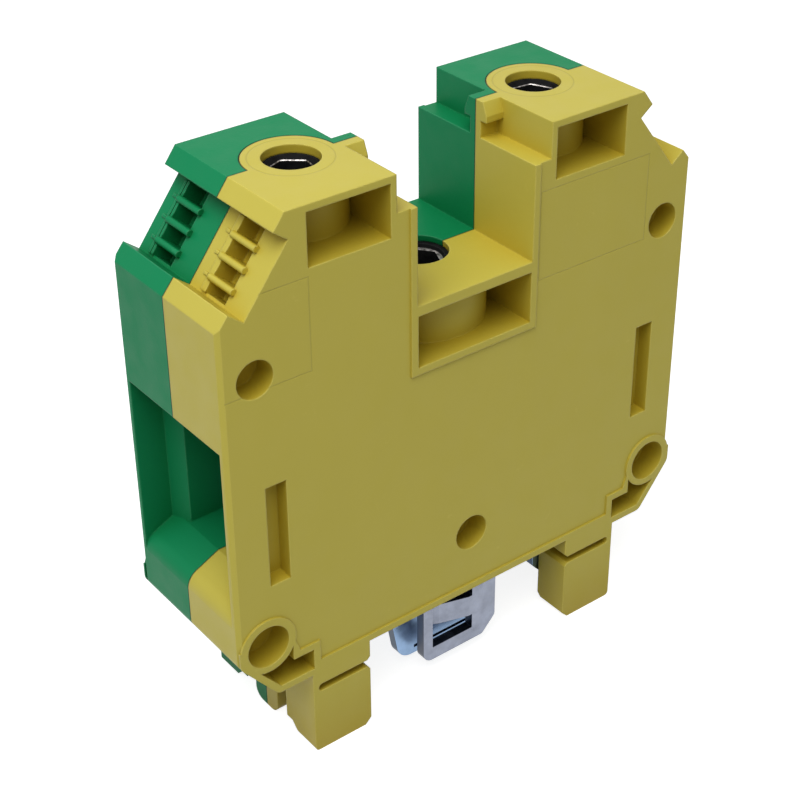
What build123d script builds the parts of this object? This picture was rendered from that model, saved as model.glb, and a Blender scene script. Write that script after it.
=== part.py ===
from build123d import *
import math
import os

# Earth terminal block for a 35 mm mounting rail, all sizes in millimetres.
# X runs along the block from one conductor entry to the other, Y through its thickness, Z up.
# The origin is the middle of the rail seat: Z 0 is the top face of the rail's flanges,
# Y 0 is the parting plane between the yellow front half and the green rear half.

# Overall body
length = 70.0
thickness = 22.0
tower_top = 65.0
body_bottom = 2.9
end_bottom = 1.9
foot_depth = 10.5
panel_relief = 0.25
corner_round = 1.6
half_length = length / 2
half_depth = thickness / 2

# How far a cutting tool runs past the face that it opens
past = 1.0
# How far joined pieces of one moulding run into each other
overlap = 0.1
# How close to a place a corner counts as being there
near = 0.01

# Towers, the notch between them and the marker lips
tower_inner_x = half_length - 23.7
shoulder_x = half_length - 26.35
shoulder_z = 60.35
notch_floor = 47.8
tower_outer_x = half_length - 9.1
upper_lip = (half_length - 7.6, 63.0)
slope_top = (half_length - 9.4, 61.65)
slope_bottom = (half_length - 3.45, 53.8)
lower_lip = (half_length - 1.55, 55.3)
end_shoulder_z = 53.4
corner_top_z = 8.2
corner_end_x = half_length - 5.0
corner_low_round = 1.2
end_chamfer = 0.5

# Clamp screws and their tubes
screw_x = half_length - 17.35
clamp_screw_r = 4.0
screw_gap = 0.3
thread_gap = 0.05
lip_hole_r = 3.4
lip_thickness = 1.1
front_tube_r = 6.3
full_tube_r = 5.7
rear_tube_r = 7.2
hex_across = 5.0
hex_turn = 21.0
thread_chamfer = 0.6
clamp_hex_depth = 4.5

# Clamp cages, bent from strip round the conductor and the bar
cage_length = 14.7
cage_outer = 17.0
cage_strip = 1.75
cage_floor = 2.2
cage_top = 6.0
cage_corner = 2.0
cage_inner_corner = 0.8
cage_travel = 12.0
cage_gap = 0.25
space_height = 15.6
tooth_count = 5
tooth_pitch = 3.0
tooth_depth = 0.5

# Current bar and the sleeve under it
bar_top = 37.5
bar_thickness = 4.5
bar_length = length - 20.0
bar_width = 12.8
bar_corner = 1.0
bar_gap = 0.1
sleeve_r = 5.5
sleeve_gap = 0.3

# Foot screw with its washers
foot_screw_r = 3.0
foot_screw_length = 45.0
foot_head_r = 5.0
foot_head_height = 6.0
foot_hex_depth = 3.0
head_chamfer = 0.5
foot_hole_r = 3.75
head_room_r = 6.6
head_lip = 0.8
centre_tube_r = 8.3
washer_r = 6.0
washer_height = 1.6
lock_washer_r = 5.9
lock_washer_height = 1.85
washer_bore_r = 3.3
lock_slit = 1.0
lock_slit_slant = 25.0

# Conductor entries in both end faces
entry_half_width = 9.7
entry_top = 37.95
entry_bottom = 13.3
entry_floor = 17.2
channel_half_width = 6.75
entry_neck_x = half_length - 4.9
entry_wide_x = half_length - 4.0
floor_edge_x = half_length - 4.5
ramp_middle = (half_length - 0.43, 14.87)
ramp_top = (half_length - 1.69, 15.82)

# Open pockets in the two flat faces
tower_pocket_x = (half_length - 22.9, half_length - 11.8)
tower_pocket_z = (57.5, 64.1)
centre_pocket_half = shoulder_x - 0.1
centre_pocket_z = (39.6, 46.45)
pocket_floor_y = 1.5
pocket_rim = 1.0

# Blind holes, slots and core-outs in the two flat faces
upper_hole = (half_length - 4.4, 46.4, 2.38)
lower_hole = (half_length - 4.0, 9.7, 2.87)
centre_hole = (0.0, 11.85, 2.45)
blind_depth = 3.5
end_slot_x = (half_length - 7.7, half_length - 4.9)
end_slot_z = (18.1, 31.9)
end_slot_depth = 2.4
ring_wall = 0.9
ring_step = 0.15
rim_width = 1.0
core_inner_x = half_length - 10.3
core_step_x = half_length - 7.4
core_rim_x = half_length - 8.4
core_bottom = 2.9
core_top = 5.9
core_tip = (half_length - 2.7, 6.2)
core_bend_x = half_length - 5.4
core_depth = 4.5

# Marker grooves on the sloping faces, across the slope from the half's front edge
groove_ends = 0.35
land_width = 4.2
slot_width = 3.5
slot_depth = 2.4
rib_width = 0.9
rib_height = 0.35
rib_slit = 0.16
rib_slit_floor = 0.02
bar_reach = 0.65
bar_on_rib = 0.45
bar_radius = 0.42
bar_lift = 0.32
bar_spacing = 2.6
bar_count = 3
web_width = 0.7
pip_size = (0.4, 0.7, 0.25)
pip_gap = 0.35

# Barbed post on each inner shoulder
barb_top_half = 1.3
barb_wide_half = 2.0
barb_web_half = 0.95
barb_slope_bottom = 63.3
barb_bottom = 62.5

# Feet of the housing
foot_inner_x = 16.4
foot_outer_x = 25.0
foot_block = 5.2
foot_cover_x = 23.4
foot_cover = 6.4
foot_cover_front = 1.0
foot_corner = 0.9
foot_outer_round = 0.6
foot_back_slant = 1.5
web_round = 1.5
web_inner_x = 21.8
web_half = 2.5
flange_slit = 1.1
slit_end_x = 24.2
slit_mouth = 0.45
slit_end_round = 0.5

# Metal rail foot: a bent bracket that sits on the rail
sheet = 1.4
frame_top = 8.5
cheek_face_y = 8.6
cheek_left = -6.0
cheek_right = 6.1
cheek_bottom = -8.2
cheek_round = 1.5
cheek_bevel_x = 3.94
cheek_bevel_z = -5.9
cheek_bevel_round = 0.8
window_x = (-4.5, 2.15)
window_z = (-6.2, 2.4)
tongue_z = (-3.95, -0.78)
tongue_end_x = -3.4
tongue_tip = (0.9, 0.5)
tongue_set = 1.2
tongue_root = 0.3
tongue_bend = 0.6
wing_x = 16.0
wing_half_width = 3.8
bend_r = 1.6

# Claw plates and the threaded block that lifts them
plate_gap = 0.2
claw_travel = 3.0
arm_bottom = 0.4
arm_top = 4.0
claw_outer_x = 23.0
claw_bottom = 0.9 - foot_depth
claw_slot_x = 20.0
nose_x = 15.4
nose_top = -2.4
nose_bottom = -4.1
nose_chamfer = (0.4, 0.5)
nose_slant = (17.7, -6.6)
nose_heel = 0.6
claw_leg_x = 18.0
lobe_x = (-9.3, 7.6)
lobe_bottom = -8.6
lobe_slant = 1.6
lobe_round = 2.4
claw_corner = 0.9
groove_z = -7.7
groove_height = 0.45
groove_depth = 0.4
block_half_x = 5.0
block_z = (-6.0, -1.0)
block_chamfer = 0.6
tenon_half_x = 2.2
tenon_z = (-5.0, -3.0)
frame_gap = 0.1
well_gap = 0.9

# Places that follow from the sizes above
bar_bottom = bar_top - bar_thickness
cage_half_x = cage_length / 2
cage_half_y = cage_outer / 2
cage_inner_y = cage_half_y - cage_strip
cage_floor_top = bar_bottom - space_height
cage_floor_bottom = cage_floor_top - cage_floor
cage_plate_bottom = bar_top + screw_gap
cage_plate_top = cage_plate_bottom + cage_top
shaft_top = cage_plate_top + cage_travel + cage_gap
screw_top = tower_top - lip_thickness
foot_head_bottom = bar_top + washer_height + lock_washer_height
foot_head_top = foot_head_bottom + foot_head_height
plate_face_y = half_depth - foot_block - plate_gap
plate_back_y = plate_face_y - sheet
web_bottom = frame_top - sheet


def block(x_range, y_range, z_range):
    """A box between two values on each axis."""
    centre = [(low + high) / 2 for low, high in (x_range, y_range, z_range)]
    size = [high - low for low, high in (x_range, y_range, z_range)]
    return Pos(*centre) * Box(*size)


def rod(radius, z_range, x=0.0, y=0.0):
    """An upright round bar or the tool for an upright hole."""
    low, high = z_range
    return Pos(x, y, (low + high) / 2) * Cylinder(radius, high - low)


def side_plane(y):
    """The XZ plane at one depth, drawn in X and Z."""
    return Plane(origin=(0, y, 0), x_dir=(1, 0, 0), z_dir=(0, -1, 0))


def slab(face, y_front, y_back):
    """A drawn XZ face made solid from one depth to another."""
    return extrude(side_plane(y_back) * face, amount=y_back - y_front)


def outline(points):
    """A closed flat face through points."""
    return make_face(Polyline(*points, close=True))


def both_ends(shape):
    """A shape and its mirror image at the other end of the block."""
    return [shape, mirror(shape, about=Plane.YZ)]


def mirrored(points):
    """An outline given for the right side, completed on the left."""
    return points + [(-x, z) for x, z in reversed(points)]


def on_circle(centre, radius, degrees):
    """A point on a circle in the XZ plane."""
    angle = math.radians(degrees)
    return (centre[0] + radius * math.cos(angle), centre[1] + radius * math.sin(angle))


def body_outline():
    """The whole side view of the body without its feet."""
    right = [
        (shoulder_x, notch_floor), (shoulder_x, shoulder_z), (tower_inner_x, shoulder_z),
        (tower_inner_x, tower_top), (tower_outer_x, tower_top), upper_lip, slope_top,
        slope_bottom, lower_lip, (half_length, end_shoulder_z), (half_length, corner_top_z),
        (corner_end_x, end_bottom), (foot_outer_x, end_bottom), (foot_outer_x, body_bottom),
    ]
    face = outline(mirrored(right))
    corners = [v for v in face.vertices() if abs(abs(v.X) - half_length) < near and v.Y < corner_top_z + near]
    face = fillet(corners, corner_round)
    corners = [v for v in face.vertices() if abs(abs(v.X) - corner_end_x) < near]
    return fillet(corners, corner_low_round)


def foot_face():
    """Front view of the right foot block with its rail slit."""
    slit_top = 0.0
    slit_low = -flange_slit
    points = [
        (foot_inner_x, body_bottom), (foot_outer_x, body_bottom), (foot_outer_x, -foot_depth),
        (foot_inner_x + foot_corner, -foot_depth), (foot_inner_x, -foot_depth + foot_corner),
        (foot_inner_x, slit_low - slit_mouth), (foot_inner_x + slit_mouth, slit_low),
        (slit_end_x, slit_low), (slit_end_x, slit_top),
        (foot_inner_x + slit_mouth, slit_top), (foot_inner_x, slit_top + slit_mouth),
    ]
    face = outline(points)
    slit_end = [v for v in face.vertices() if abs(v.X - slit_end_x) < near]
    face = fillet(slit_end, slit_end_round)
    outer = [v for v in face.vertices() if v.X > foot_outer_x - near and v.Y < near - foot_depth]
    return fillet(outer, foot_outer_round)


def front_foot():
    """Front block of the right foot, its cover strip and its share of the middle web."""
    face = foot_face()
    block_back = -half_depth + foot_block
    foot = slab(face, -half_depth, block_back)
    behind = block_back + overlap
    below = -foot_depth - overlap
    slant = outline([(behind, foot_back_slant - foot_depth + overlap), (behind, below),
                     (block_back - foot_back_slant - overlap, below)])
    across = Plane(origin=(foot_inner_x - past, 0, 0), x_dir=(0, 1, 0), z_dir=(1, 0, 0))
    foot -= extrude(across * slant, amount=foot_outer_x - foot_inner_x + 2 * past)
    cover = block((foot_cover_x, foot_outer_x), (-half_depth + foot_cover_front, -half_depth + foot_cover),
                  (foot_back_slant - foot_depth, body_bottom))
    slit = block((foot_cover_x - past, slit_end_x), (-half_depth, 0), (-flange_slit, 0))
    web = block((web_inner_x, foot_outer_x), (-web_half, 0), (-foot_depth, body_bottom))
    web_edge = web.edges().filter_by(Axis.X).sort_by(Axis.Z)[:2].sort_by(Axis.Y)[:1]
    web = fillet(web_edge, web_round)
    return foot + (cover - slit) + web


def marker_field(edge_y, split_rib):
    """Ribs, bars and grooves of one marker slope, starting at the edge of the half."""
    rise = slope_bottom[1] - slope_top[1]
    run = slope_bottom[0] - slope_top[0]
    slope_length = math.hypot(run, rise)
    along = (run / slope_length, 0, rise / slope_length)
    outward = (-along[2], 0, along[0])
    slope = Plane(origin=(slope_top[0], edge_y, slope_top[1]), x_dir=along, z_dir=outward)
    span = (groove_ends, slope_length - groove_ends)
    slot_end = land_width + slot_width
    rib_end = slot_end + rib_width
    cut = block(span, (land_width, slot_end), (-slot_depth, past))
    rib = block(span, (slot_end, rib_end), (-overlap, rib_height))
    if split_rib:
        middle = (slot_end + rib_end) / 2
        rib -= block(span, (middle - rib_slit / 2, middle + rib_slit / 2), (rib_slit_floor, past))
    adds = [rib]
    reach = (land_width - bar_reach, slot_end + bar_on_rib)
    for number in range(1, bar_count + 1):
        s = number * bar_spacing
        bar = Rot(90, 0, 0) * Cylinder(bar_radius, reach[1] - reach[0])
        web = block((s - web_width / 2, s + web_width / 2), (land_width, slot_end), (-slot_depth, bar_lift))
        pip = Pos(s, rib_end + pip_gap + pip_size[1] / 2, 0) * Box(*pip_size)
        adds += [Pos(s, sum(reach) / 2, bar_lift) * bar, web, pip]
    return slope * cut, [slope * item for item in adds]


def snap_post():
    """Front half of the arrow-headed post on the right inner shoulder."""
    profile = [(0, shoulder_z), (-barb_web_half, shoulder_z), (-barb_web_half, barb_bottom),
               (-barb_wide_half, barb_bottom), (-barb_wide_half, barb_slope_bottom),
               (-barb_top_half, tower_top), (0, tower_top)]
    across = Plane(origin=(shoulder_x, 0, 0), x_dir=(0, 1, 0), z_dir=(1, 0, 0))
    return extrude(across * outline(profile), amount=tower_inner_x - shoulder_x)


def entry_space():
    """The conductor entry at the right end: funnel, ramp and channel."""
    outside = half_length + past
    shaft_side = screw_x + cage_half_x
    ramp = ThreePointArc((half_length, entry_bottom), ramp_middle, ramp_top)
    rest = Polyline(ramp_top, (floor_edge_x, entry_floor), (shaft_side, entry_floor), (shaft_side, entry_top),
                    (outside, entry_top), (outside, entry_bottom), (half_length, entry_bottom))
    side = slab(make_face(Curve() + [ramp, rest]), -half_depth, half_depth)
    plan_points = [(shaft_side, channel_half_width), (entry_neck_x, channel_half_width),
                   (entry_wide_x, entry_half_width), (outside, entry_half_width)]
    plan_points += [(x, -y) for x, y in reversed(plan_points)]
    return side & extrude(outline(plan_points), amount=tower_top)


def inner_spaces():
    """Every hollow that both halves share, with the room that the metal parts need."""
    shaft_x = cage_half_x + cage_gap
    shaft_y = cage_half_y + cage_gap
    shaft = block((screw_x - shaft_x, screw_x + shaft_x), (-shaft_y, shaft_y),
                  (cage_floor_bottom - cage_gap, shaft_top))
    tube = rod(clamp_screw_r + screw_gap, (shaft_top - past, screw_top), screw_x)
    lip = rod(lip_hole_r, (screw_top - past, tower_top + past), screw_x)
    arm_y = (plate_back_y - plate_gap, plate_face_y + plate_gap)
    arm_z = (-foot_depth, arm_top + claw_travel + cage_gap)
    arms = block((0, claw_outer_x + plate_gap + overlap), arm_y, arm_z)
    arms_back = mirror(arms, about=Plane.XZ)
    spaces = []
    for space in (shaft, tube, lip, arms, arms_back, entry_space()):
        spaces += both_ends(space)
    bar_y = bar_width / 2 + bar_gap
    head_top = notch_floor - head_lip
    well_y = cheek_face_y + bar_gap + screw_gap
    well_x = lobe_x[1] + well_gap
    spaces += [
        block((-screw_x, screw_x), (-bar_y, bar_y), (bar_bottom - bar_gap, bar_top + bar_gap)),
        rod(head_room_r, (bar_top, head_top)),
        rod(foot_hole_r, (head_top - past, notch_floor + past)),
        rod(sleeve_r + sleeve_gap, (frame_top, bar_bottom)),
        block((lobe_x[0] - well_gap, well_x), (-well_y, well_y), (-foot_depth, frame_top + frame_gap)),
        block((-wing_x - plate_gap, wing_x + plate_gap), (-plate_back_y, plate_back_y),
              (-foot_depth, frame_top + frame_gap)),
    ]
    return spaces


def core_face():
    """Front view of the crescent core-out beside the right lower hole."""
    hole = lower_hole[:2]
    ring_r = lower_hole[2] + ring_wall
    step_angle = math.degrees(math.acos((core_step_x - hole[0]) / ring_r))
    tip_angle = math.degrees(math.atan2(core_tip[1] - hole[1], core_tip[0] - hole[0]))
    start = on_circle(hole, ring_r, -step_angle)
    middle = on_circle(hole, ring_r, (tip_angle - step_angle) / 2)
    end = on_circle(hole, ring_r, tip_angle)
    arc = ThreePointArc(start, middle, end)
    rest = Polyline(end, (core_bend_x, core_bottom), (core_inner_x, core_bottom), (core_inner_x, core_top),
                    (core_step_x, core_top), start)
    return make_face(Curve() + [arc, rest])


def raised_rims():
    """Flat rims that stand a little proud of the panel, drawn in X and Z."""
    low_band = outline(mirrored([(core_inner_x, body_bottom), (core_inner_x, core_bottom + rim_width)]))
    rims = [low_band]
    rim_x = core_inner_x - rim_width
    surround = outline([(rim_x, end_bottom), (rim_x, core_top + rim_width),
                        (core_rim_x, core_top + rim_width), (core_step_x, lower_hole[1]),
                        (half_length, lower_hole[1] + ring_wall), (half_length, corner_top_z),
                        (corner_end_x, end_bottom)])
    ring = Pos(lower_hole[0], lower_hole[1]) * Circle(lower_hole[2] + ring_wall + ring_step)
    foot_band = outline([(foot_inner_x, body_bottom), (foot_inner_x, core_bottom + rim_width),
                         (foot_outer_x, core_bottom + rim_width), (foot_outer_x, body_bottom)])
    for face in (surround + ring, foot_band):
        rims += [face, mirror(face, about=Plane.YZ)]
    centre_top = shoulder_z
    centre_low = centre_pocket_z[0] - pocket_rim
    centre_half = centre_pocket_half + pocket_rim
    rims.append(outline([(-centre_half, centre_low), (centre_half, centre_low), (centre_half, centre_top),
                         (-centre_half, centre_top)]))
    return rims


def flat_face_cuts(tower_tube_r):
    """Pockets, blind holes, slots and core-outs that open in the front face of a half."""
    face_y = -half_depth - past
    tower_pocket = block(tower_pocket_x, (face_y, -pocket_floor_y), tower_pocket_z)
    tower_pocket -= rod(tower_tube_r, tower_pocket_z, screw_x)
    centre_x = (-centre_pocket_half, centre_pocket_half)
    centre_pocket = block(centre_x, (face_y, -pocket_floor_y), centre_pocket_z)
    centre_pocket -= rod(centre_tube_r, centre_pocket_z)
    end_slot = block(end_slot_x, (face_y, -half_depth + end_slot_depth), end_slot_z)
    core = slab(core_face(), face_y, -half_depth + core_depth)
    cuts = [centre_pocket]
    for cut in (tower_pocket, end_slot, core):
        cuts += both_ends(cut)
    for x, z, radius in (upper_hole, lower_hole, centre_hole):
        hole = slab(Pos(x, z) * Circle(radius), face_y, -half_depth + blind_depth)
        cuts += both_ends(hole) if x else [hole]
    return cuts


def housing_half(tower_tube_r):
    """One moulded half without its marker fields, built as the front one."""
    side = body_outline()
    half = slab(side, -half_depth + panel_relief, 0)
    ends = [e for e in half.edges().filter_by(Axis.Z).sort_by(Axis.Y)
            if abs(abs(e.center().X) - half_length) < near and e.center().Y < -near]
    half = chamfer(ends, end_chamfer)
    half += both_ends(snap_post())
    for rim in raised_rims():
        half += slab(rim & side, -half_depth, -half_depth + panel_relief)
    half += both_ends(front_foot())
    return half - flat_face_cuts(tower_tube_r) - inner_spaces()


def with_markers(half, edge_y, split_rib):
    """A half with its marker fields, one on each sloping face."""
    cut, adds = marker_field(edge_y, split_rib)
    half -= both_ends(cut)
    for item in adds:
        half += both_ends(item)
    return half


def full_tube():
    """The right screw tube of the yellow half, which runs on through the parting plane."""
    z_range = (tower_pocket_z[0], tower_top)
    tube = rod(full_tube_r, z_range, screw_x)
    tube -= rod(clamp_screw_r + screw_gap, (shaft_top, screw_top), screw_x)
    return tube - rod(lip_hole_r, (screw_top - past, tower_top + past), screw_x)


def housing_yellow():
    """Front half with the full screw tubes."""
    half = with_markers(housing_half(front_tube_r), -half_depth, False)
    behind = block((-half_length, half_length), (0, half_depth), (0, tower_top))
    return half + both_ends(full_tube() & behind)


def housing_green():
    """Rear half: the mirror image, with room for the yellow tubes."""
    half = with_markers(mirror(housing_half(rear_tube_r), about=Plane.XZ), 0, True)
    room = rod(full_tube_r + thread_gap, (tower_pocket_z[0] - thread_gap, tower_top + past), screw_x)
    return half - both_ends(room)


def current_bar():
    """Flat bar through both cages, toothed underneath where it grips the conductors."""
    bar = block((-bar_length / 2, bar_length / 2), (-bar_width / 2, bar_width / 2), (bar_bottom, bar_top))
    bar = fillet(bar.edges().filter_by(Axis.Z), bar_corner)
    bar -= rod(washer_bore_r, (bar_bottom - past, bar_top + past))
    for tooth in teeth(bar_bottom, bar_width / 2 + past):
        bar -= both_ends(tooth)
    return bar


def teeth(z, half_width):
    """Cross grooves under or over the right conductor space."""
    first = screw_x - tooth_pitch * (tooth_count - 1) / 2
    edge = tooth_depth * math.sqrt(2)
    tooth = Rot(0, 45, 0) * Box(edge, 2 * half_width, edge)
    return [Pos(first + i * tooth_pitch, 0, z) * tooth for i in range(tooth_count)]


def clamp_cage(x):
    """Steel cage: strip bent round the conductor space, with a thick threaded top."""
    across = Plane(origin=(x - cage_half_x, 0, 0), x_dir=(0, 1, 0), z_dir=(1, 0, 0))
    height = cage_plate_top - cage_floor_bottom
    middle = (cage_plate_top + cage_floor_bottom) / 2
    outer = Pos(0, middle) * RectangleRounded(2 * cage_half_y, height, cage_corner)
    inner_height = cage_plate_bottom - cage_floor_top
    inner = RectangleRounded(2 * cage_inner_y, inner_height, cage_inner_corner)
    inner = Pos(0, cage_floor_top + inner_height / 2) * inner
    cage = extrude(across * (outer - inner), amount=cage_length)
    cage -= rod(clamp_screw_r + thread_gap, (cage_plate_bottom - past, cage_plate_top + past), x)
    offset = x - screw_x
    for tooth in teeth(cage_floor_top, cage_inner_y - cage_inner_corner):
        cage -= Pos(offset, 0, 0) * tooth
    return cage


def hex_tool(top, depth):
    """The tool for a hexagon socket, open at the top."""
    face = RegularPolygon(radius=hex_across / 2, side_count=6, major_radius=False, rotation=hex_turn)
    return extrude(Pos(0, 0, top - depth) * face, amount=depth + past)


def clamp_screw(x):
    """Threaded stud with a hexagon socket, standing on the bar."""
    stud = rod(clamp_screw_r, (bar_top, screw_top))
    rims = stud.edges().filter_by(GeomType.CIRCLE)
    stud = chamfer(rims, thread_chamfer) - hex_tool(screw_top, clamp_hex_depth)
    return Pos(x, 0, 0) * stud


def foot_screw():
    """Socket head screw that draws the rail clamp up."""
    head = rod(foot_head_r, (foot_head_bottom, foot_head_top))
    head = chamfer(head.edges().filter_by(GeomType.CIRCLE).sort_by(Axis.Z)[-1:], head_chamfer)
    shank = rod(foot_screw_r, (foot_head_bottom - foot_screw_length, foot_head_bottom))
    shank = chamfer(shank.edges().filter_by(GeomType.CIRCLE).sort_by(Axis.Z)[:1], thread_chamfer)
    return head + shank - hex_tool(foot_head_top, foot_hex_depth)


def washer(radius, z_range):
    """A flat ring round the foot screw."""
    return rod(radius, z_range) - rod(washer_bore_r, z_range)


def lock_washer():
    """Split ring under the screw head."""
    z_range = (bar_top + washer_height, foot_head_bottom)
    ring = washer(lock_washer_r, z_range)
    slit = Pos(lock_washer_r, 0, 0) * Box(2 * lock_washer_r, lock_slit, 3 * lock_washer_height)
    return ring - Pos(0, 0, sum(z_range) / 2) * Rot(lock_slit_slant, 0, 0) * slit


def cheek():
    """Front cheek of the foot bracket, with its window and the tongue bent inwards."""
    top = frame_top - bend_r
    face = outline([(cheek_left, top), (cheek_left, cheek_bottom), (cheek_bevel_x, cheek_bottom),
                    (cheek_right, cheek_bevel_z), (cheek_right, top)])
    corner = [v for v in face.vertices() if v.X < cheek_left + near and v.Y < cheek_bottom + near]
    face = fillet(corner, cheek_round)
    low = [v for v in face.vertices() if v.X > cheek_bevel_x - near and v.Y < cheek_bevel_z + near]
    face = fillet(low, cheek_bevel_round)
    window = outline([(x, z) for x, z in ((window_x[0], window_z[0]), (window_x[1], window_z[0]),
                                          (window_x[1], window_z[1]), (window_x[0], window_z[1]))])
    plate = slab(face - window, -cheek_face_y, -cheek_face_y + sheet)
    front = -cheek_face_y
    plan = outline([(window_x[1] + tongue_root, front), (window_x[1] + tongue_root, front + sheet),
                    (window_x[1] - tongue_bend, front + sheet), (tongue_end_x, front + tongue_set + sheet),
                    (tongue_end_x, front + tongue_set + tongue_tip[1]),
                    (tongue_end_x + tongue_tip[0], front + tongue_set), (window_x[1] - tongue_bend, front)])
    tongue = extrude(Pos(0, 0, tongue_z[0]) * plan, amount=tongue_z[1] - tongue_z[0])
    return plate + tongue


def bent_strip(half_reach, width, along_y):
    """Flat strip with both ends bent down, outer bends rounded."""
    outer = (-half_reach, half_reach)
    inner = (-half_reach + sheet, half_reach - sheet)
    bend = (web_bottom - sheet, frame_top)
    under = (web_bottom - sheet, web_bottom)
    if along_y:
        strip = block(width, outer, bend)
        inside = block(width, inner, under)
        edges = strip.edges().filter_by(Axis.X).sort_by(Axis.Z)[-2:]
    else:
        strip = block(outer, width, bend)
        inside = block(inner, width, under)
        edges = strip.edges().filter_by(Axis.Y).sort_by(Axis.Z)[-2:]
    return fillet(edges, bend_r) - inside


def foot_frame():
    """Bent bracket: two cheeks in the rail's channel and two wings on its flanges."""
    cheek_x = (cheek_left, cheek_right)
    wing_y = (-wing_half_width, wing_half_width)
    bracket = bent_strip(cheek_face_y, cheek_x, True) + bent_strip(wing_x, wing_y, False)
    bracket += [cheek(), mirror(cheek(), about=Plane.XZ)]
    wing = block((wing_x - sheet, wing_x), wing_y, (0, web_bottom))
    bracket += both_ends(wing)
    return bracket - rod(washer_bore_r, (web_bottom - past, frame_top + past))


def claw_side():
    """Right arm and hook of a claw plate, from the lobe to the tip and back."""
    return [
        (claw_outer_x, arm_top), (claw_outer_x, claw_bottom + claw_corner),
        (claw_outer_x - claw_corner, claw_bottom), (claw_leg_x + claw_corner, claw_bottom),
        (claw_leg_x, claw_bottom + claw_corner), (claw_leg_x, nose_slant[1] - nose_heel), nose_slant,
        (nose_x + nose_chamfer[0], nose_bottom - nose_chamfer[1]), (nose_x, nose_bottom), (nose_x, nose_top),
        (claw_slot_x, nose_top), (claw_slot_x, arm_bottom),
    ]


def claw_plate():
    """Front claw plate: hooks for the flanges at both ends and a lobe in the rail's channel."""
    right = claw_side()
    left = [(-x, z) for x, z in reversed(right)]
    lobe = [(lobe_x[1], arm_bottom), (lobe_x[1], lobe_bottom), (lobe_x[0] + lobe_slant, lobe_bottom),
            (lobe_x[0], arm_bottom)]
    face = outline(right + lobe + left)
    low = [v for v in face.vertices() if abs(v.Y - lobe_bottom) < near]
    face = fillet(low, lobe_round)
    plate = slab(face, -plate_face_y, -plate_back_y)
    plate -= block((-tenon_half_x, tenon_half_x), (-half_depth, 0), tenon_z)
    groove_x = (lobe_x[0] + lobe_slant + lobe_round, lobe_x[1] - lobe_round)
    groove_y = (-half_depth, groove_depth - plate_face_y)
    groove = block(groove_x, groove_y, (groove_z, groove_z + groove_height))
    return plate - groove


def clamp_block():
    """Threaded block between the claw plates, with a tenon through each."""
    main = block((-block_half_x, block_half_x), (-plate_back_y, plate_back_y), block_z)
    main = chamfer(main.edges().filter_by(Axis.Y), block_chamfer)
    tenon = block((-tenon_half_x, tenon_half_x), (-plate_face_y, plate_face_y), tenon_z)
    return main + tenon - rod(foot_screw_r + thread_gap, (block_z[0] - past, block_z[1] + past))


def contact_sleeve():
    """Sleeve that carries the current from the bar down to the rail bracket."""
    z_range = (frame_top, bar_bottom)
    return rod(sleeve_r, z_range) - rod(washer_bore_r, z_range)


parts = {
    "housing_yellow": housing_yellow(),
    "housing_green": housing_green(),
    "current_bar": current_bar(),
    "contact_sleeve": contact_sleeve(),
    "foot_frame": foot_frame(),
    "foot_washer": washer(washer_r, (bar_top, bar_top + washer_height)),
    "foot_lock_washer": lock_washer(),
    "foot_screw": foot_screw(),
    "clamp_block": clamp_block(),
    "claw_plate_front": claw_plate(),
    "claw_plate_rear": mirror(claw_plate(), about=Plane.XZ),
}
for side, sign in (("left", -1), ("right", 1)):
    parts["clamp_cage_" + side] = clamp_cage(sign * screw_x)
    parts["clamp_screw_" + side] = clamp_screw(sign * screw_x)

os.makedirs("parts", exist_ok=True)
for node, shape in parts.items():
    export_step(shape, f"parts/{node}.step")
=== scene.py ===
import math

import bmesh
import bpy
from mathutils import Matrix, Vector


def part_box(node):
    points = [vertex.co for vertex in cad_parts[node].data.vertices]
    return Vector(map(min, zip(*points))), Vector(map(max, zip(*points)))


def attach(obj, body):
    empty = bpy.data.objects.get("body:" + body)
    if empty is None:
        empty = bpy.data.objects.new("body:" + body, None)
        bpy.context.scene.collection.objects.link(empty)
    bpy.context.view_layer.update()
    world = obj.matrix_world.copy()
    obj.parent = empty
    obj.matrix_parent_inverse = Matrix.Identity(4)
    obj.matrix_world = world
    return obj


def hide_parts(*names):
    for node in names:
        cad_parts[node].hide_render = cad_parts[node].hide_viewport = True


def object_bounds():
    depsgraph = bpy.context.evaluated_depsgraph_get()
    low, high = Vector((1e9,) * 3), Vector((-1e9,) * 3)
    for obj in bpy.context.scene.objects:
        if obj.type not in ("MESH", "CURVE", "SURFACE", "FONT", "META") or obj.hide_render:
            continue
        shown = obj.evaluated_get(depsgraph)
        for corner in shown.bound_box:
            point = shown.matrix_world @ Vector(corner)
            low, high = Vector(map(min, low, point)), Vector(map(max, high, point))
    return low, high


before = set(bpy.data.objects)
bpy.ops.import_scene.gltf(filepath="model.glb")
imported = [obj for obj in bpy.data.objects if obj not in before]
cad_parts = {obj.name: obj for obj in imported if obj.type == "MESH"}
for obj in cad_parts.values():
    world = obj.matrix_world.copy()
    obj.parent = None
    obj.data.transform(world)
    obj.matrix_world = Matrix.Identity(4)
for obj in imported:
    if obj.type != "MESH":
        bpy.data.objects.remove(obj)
cad_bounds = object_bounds()

bl_info = {
    "name": "Earth Terminal Block",
    "version": (1, 0, 0),
    "blender": (4, 5, 0),
    "location": "View3D > Sidebar > Terminal Block",
    "description": "Finishes, screws and studio for a green and yellow earth terminal block",
    "category": "Object",
}

MM = 0.001
WHITE = (1.0, 1.0, 1.0, 1.0)

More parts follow.
